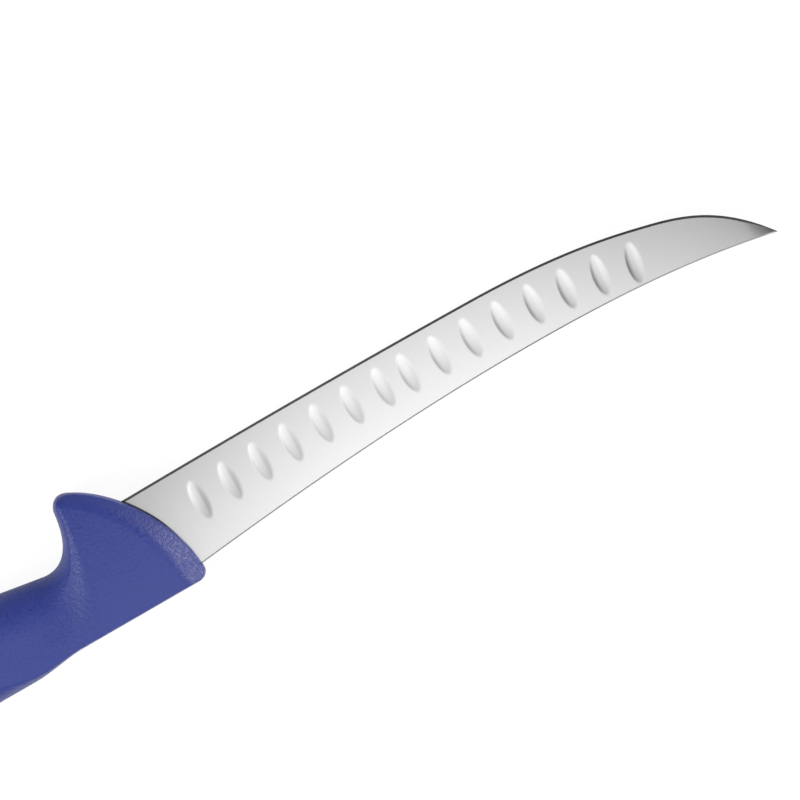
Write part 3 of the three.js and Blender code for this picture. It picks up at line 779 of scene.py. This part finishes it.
def white_floor():
    """Matt floor that keeps the knife's shadow and glows white for the camera."""
    bm = bmesh.new()
    bmesh.ops.create_grid(bm, x_segments=1, y_segments=1, size=FLOOR_SIZE)
    bmesh.ops.translate(bm, verts=bm.verts, vec=(0, 0, -FLOOR_DROP))
    floor = new_piece("floor", bm)
    material = bpy.data.materials.new("white_floor")
    tree = emptied_tree(material)
    grey = (FLOOR_GREY, FLOOR_GREY, FLOOR_GREY, 1)
    matt = add(tree, "ShaderNodeBsdfDiffuse", {"Color": grey}).outputs[0]
    glow = add(tree, "ShaderNodeEmission", {"Color": WHITE, "Strength": FLOOR_GLOW}).outputs[0]
    lit = add(tree, "ShaderNodeMixShader", {"Fac": GLOW_SHARE, 1: matt, 2: glow}).outputs[0]
    rays = add(tree, "ShaderNodeLightPath").outputs
    mirrored = math_node(tree, "MAXIMUM", rays["Is Glossy Ray"], rays["Is Transmission Ray"])
    softened = math_node(tree, "MULTIPLY", mirrored, MIRRORED_GLOW)
    seen = math_node(tree, "MAXIMUM", rays["Is Camera Ray"], softened)
    shown = add(tree, "ShaderNodeMixShader", {"Fac": seen, 1: matt, 2: lit}).outputs[0]
    add(tree, "ShaderNodeOutputMaterial", {"Surface": shown})
    floor.data.materials.append(material)


def levels(tree, value, stops):
    """Grey level by value, from stops as (position, level): the two end stops first, then those between."""
    ramp = add(tree, "ShaderNodeValToRGB", {"Fac": value})
    elements = ramp.color_ramp.elements
    for i, (position, level) in enumerate(stops):
        element = elements[i] if i < 2 else elements.new(position)
        element.position = position
        element.color = (level, level, level, 1)
    return ramp.outputs["Color"]


def studio_world():
    """White behind the knife. Its light is a pale wall all round, darker overhead and towards the edge."""
    world = bpy.data.worlds.new("studio")
    tree = emptied_tree(world)
    direction = add(tree, "ShaderNodeTexCoord").outputs["Generated"]
    axes = add(tree, "ShaderNodeSeparateXYZ", {0: direction}).outputs
    tilt = math_node(tree, "MULTIPLY", axes["X"], WALL_TILT)
    wall = levels(tree, math_node(tree, "ADD", axes["Z"], tilt), WALL_HEIGHTS)
    level_part = math_node(tree, "SUBTRACT", 1.0, math_node(tree, "POWER", axes["Z"], 2.0))
    reach = math_node(tree, "SQRT", math_node(tree, "MAXIMUM", level_part, SMALLEST_REACH))
    towards_edge = math_node(tree, "DIVIDE", axes["Y"], reach)
    sides = levels(tree, mapped(tree, towards_edge, 0.0, 1.0, -1.0, 1.0), WALL_SIDES)
    both = {"Factor": 1.0, "A": wall, "B": sides}
    level = add(tree, "ShaderNodeMix", both, data_type="RGBA", blend_type="MULTIPLY")
    light = add(tree, "ShaderNodeBackground", {"Color": level.outputs[2], "Strength": WALL_LEVEL}).outputs[0]
    behind = add(tree, "ShaderNodeBackground", {"Color": WHITE, "Strength": 1.0}).outputs[0]
    seen = add(tree, "ShaderNodeLightPath").outputs["Is Camera Ray"]
    shown = add(tree, "ShaderNodeMixShader", {"Fac": seen, 1: light, 2: behind}).outputs[0]
    add(tree, "ShaderNodeOutputWorld", {"Surface": shown})
    bpy.context.scene.world = world


def square_light(name, level, width, place):
    """Square light that shines downwards; its level is the brightness of its face."""
    lamp = bpy.data.lights.new(name, "AREA")
    lamp.shape = "SQUARE"
    lamp.size = width
    lamp.energy = level * math.pi * width ** 2
    light = bpy.data.objects.new(name, lamp)
    light.location = place
    bpy.context.scene.collection.objects.link(light)
    return light


def soft_box():
    """Overhead light, brightest in its middle."""
    box = square_light("soft_box", BOX_LEVEL, BOX_WIDTH, BOX_PLACE)
    tree = emptied_tree(box.data)
    place = add(tree, "ShaderNodeNewGeometry").outputs["Parametric"]
    offset = add(tree, "ShaderNodeVectorMath", {0: place, 1: BOX_MIDDLE}, operation="DISTANCE")
    fade = mapped(tree, offset.outputs["Value"], 1.0, 0.0, *BOX_FADE, interpolation_type="SMOOTHSTEP")
    glow = add(tree, "ShaderNodeEmission", {"Strength": fade}).outputs[0]
    add(tree, "ShaderNodeOutputLight", {"Surface": glow})


def side_light(name, level, width, place, colour):
    """Square light that faces the handle's bolster."""
    light = square_light(name, level, width, place)
    light.data.color = colour
    light.rotation_euler = Vector(place).to_track_quat("Z", "Y").to_euler()


def camera():
    data = bpy.data.cameras.new("camera")
    data.sensor_width = SENSOR
    data.lens = SENSOR * CAMERA_HEIGHT / VIEW_WIDTH
    data.clip_end = CLIP_END
    eye = bpy.data.objects.new("camera", data)
    eye.location = Vector(VIEW_CENTRE) + Vector((0, 0, CAMERA_HEIGHT))
    eye.rotation_euler = (0, 0, math.radians(VIEW_TURN))
    bpy.context.scene.collection.objects.link(eye)
    bpy.context.scene.camera = eye


blade = ground_blade()
set_in_frame(blade)
handle = moulded_handle()
set_in_frame(handle)

belt_lines, film = grind_lines_group(), handling_group()
for finish in STEELS:
    blade.data.materials.append(steel(belt_lines, film, **finish))
handle.data.materials.append(grained_plastic(film))

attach(blade, "root")
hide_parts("blade")
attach(handle, "root")
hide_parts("handle")

white_floor()
soft_box()
side_light("tip_light", **TIP_LIGHT)
side_light("butt_light", **BUTT_LIGHT)
camera()

studio_world()
bpy.context.scene.view_settings.view_transform = "Standard"
